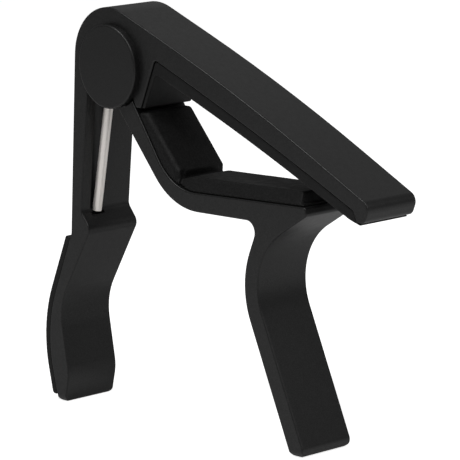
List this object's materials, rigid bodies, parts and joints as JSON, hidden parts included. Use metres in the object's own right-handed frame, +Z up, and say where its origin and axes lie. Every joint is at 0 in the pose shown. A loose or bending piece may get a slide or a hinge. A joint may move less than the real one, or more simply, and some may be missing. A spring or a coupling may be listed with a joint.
{
  "type": "guitar capo",
  "caption": "Spring-loaded trigger capo: a padded bar and a padded jaw on one pivot clamp a guitar neck, and squeezing the two handles together opens them.",
  "frame": {"origin": "middle of the footprint, on the surface that the ends of the two handles stand on", "axes": "+Z up; +X along the bar, from the rear handle towards the bar's tip; Y across the width, along the pivot axis"},
  "size_m": [0.0934, 0.0158, 0.0824],
  "materials": {
    "black_casting": "fine satin black anodised, with a faint speckle and slightly bright edges",
    "black_rubber": "matt moulded silicone rubber",
    "black_foam": "matt closed-cell rubber with a grainy skin",
    "spring_wire": "nickel-plated polished spring wire",
    "pivot_steel": "plain turned steel",
    "white_nylon": "plain moulded nylon"
  },
  "bodies": {
    "bar": {"bar_frame": "black_casting", "string_pad": "black_rubber", "handle_grip": "black_rubber", "pivot_pin": "pivot_steel", "retaining_ring": "pivot_steel", "front_cap": "black_casting", "back_cap": "black_casting", "front_washer": "white_nylon", "back_washer": "white_nylon", "spring_sleeve": "white_nylon", "torsion_spring": "spring_wire"},
    "jaw": {"jaw_frame": "black_casting", "neck_pad": "black_foam", "front_bush": "white_nylon", "back_bush": "white_nylon"}
  },
  "joints": [
    {"name": "jaw_pivot", "type": "hinge", "parent": "bar", "child": "jaw", "pos_m": [-0.02313, 0, 0.07085], "axis": [0, 1, 0], "range_deg": [0, 30], "stiffness_Nm_per_rad": 1.5, "springref_deg": -14.32, "deforming": ["torsion_spring"]}
  ]
}
